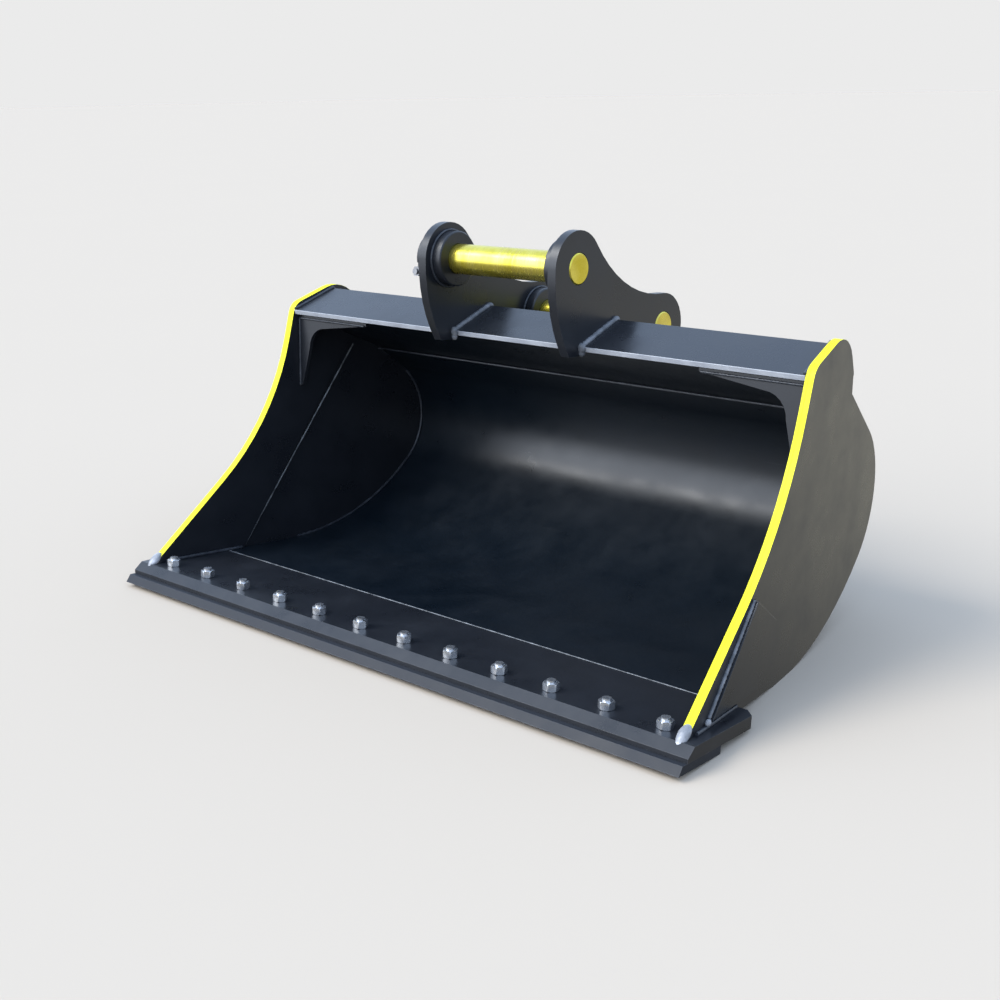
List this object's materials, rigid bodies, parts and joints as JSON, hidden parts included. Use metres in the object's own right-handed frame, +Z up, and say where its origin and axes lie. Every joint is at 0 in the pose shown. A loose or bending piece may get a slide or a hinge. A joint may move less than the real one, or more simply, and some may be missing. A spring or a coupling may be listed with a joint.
{
  "type": "excavator grading bucket",
  "caption": "Wide excavator grading bucket with a bolt-on cutting edge, box beam, hanger ears and hanger pins, standing on its edge and belly.",
  "frame": {"origin": "middle of the bounding box at ground level, under the middle of the bucket", "axes": "+X across the bucket towards its right side, seen from in front of the mouth; +Y from the cutting edge back towards the belly; +Z up"},
  "size_m": [1.874, 1.1268, 1.0145],
  "materials": {
    "graphite_paint": "semi-gloss",
    "edge_paint": "semi-gloss",
    "wear_steel": "semi-gloss",
    "bright_zinc": "satin",
    "gold_zinc": "satin"
  },
  "bodies": {
    "bucket": {"left_side_plate": "graphite_paint", "left_wear_plate": "graphite_paint", "left_gusset": "graphite_paint", "left_ear": "graphite_paint", "right_side_plate": "graphite_paint", "right_wear_plate": "graphite_paint", "right_gusset": "graphite_paint", "right_ear": "graphite_paint", "wrapper_shell": "graphite_paint", "beam_top_plate": "graphite_paint", "beam_rear_plate": "graphite_paint", "beam_closing_plate": "graphite_paint", "left_front_boss": "graphite_paint", "left_rear_boss": "graphite_paint", "right_front_boss": "graphite_paint", "right_rear_boss": "graphite_paint", "front_keeper_collar": "graphite_paint", "rear_keeper_collar": "graphite_paint", "left_lip_liner": "edge_paint", "right_lip_liner": "edge_paint", "base_blade": "wear_steel", "cutting_edge": "wear_steel", "edge_bolt_01": "bright_zinc", "edge_bolt_02": "bright_zinc", "edge_bolt_03": "bright_zinc", "edge_bolt_04": "bright_zinc", "edge_bolt_05": "bright_zinc", "edge_bolt_06": "bright_zinc", "edge_bolt_07": "bright_zinc", "edge_bolt_08": "bright_zinc", "edge_bolt_09": "bright_zinc", "edge_bolt_10": "bright_zinc", "edge_bolt_11": "bright_zinc", "edge_bolt_12": "bright_zinc", "edge_nut_01": "bright_zinc", "edge_nut_02": "bright_zinc", "edge_nut_03": "bright_zinc", "edge_nut_04": "bright_zinc", "edge_nut_05": "bright_zinc", "edge_nut_06": "bright_zinc", "edge_nut_07": "bright_zinc", "edge_nut_08": "bright_zinc", "edge_nut_09": "bright_zinc", "edge_nut_10": "bright_zinc", "edge_nut_11": "bright_zinc", "edge_nut_12": "bright_zinc", "front_keeper_bolt": "bright_zinc", "front_keeper_nut": "bright_zinc", "front_keeper_locknut": "bright_zinc", "rear_keeper_bolt": "bright_zinc", "rear_keeper_nut": "bright_zinc", "rear_keeper_locknut": "bright_zinc"},
    "front_pin": {"front_pin": "gold_zinc"},
    "rear_pin": {"rear_pin": "gold_zinc"}
  },
  "joints": [
    {"name": "front_pin_turn", "type": "hinge", "parent": "bucket", "child": "front_pin", "pos_m": [0, 0.05235, 0.91977], "axis": [1, 0, 0], "continuous": true},
    {"name": "rear_pin_turn", "type": "hinge", "parent": "bucket", "child": "rear_pin", "pos_m": [0, 0.43628, 0.72306], "axis": [1, 0, 0], "continuous": true}
  ]
}
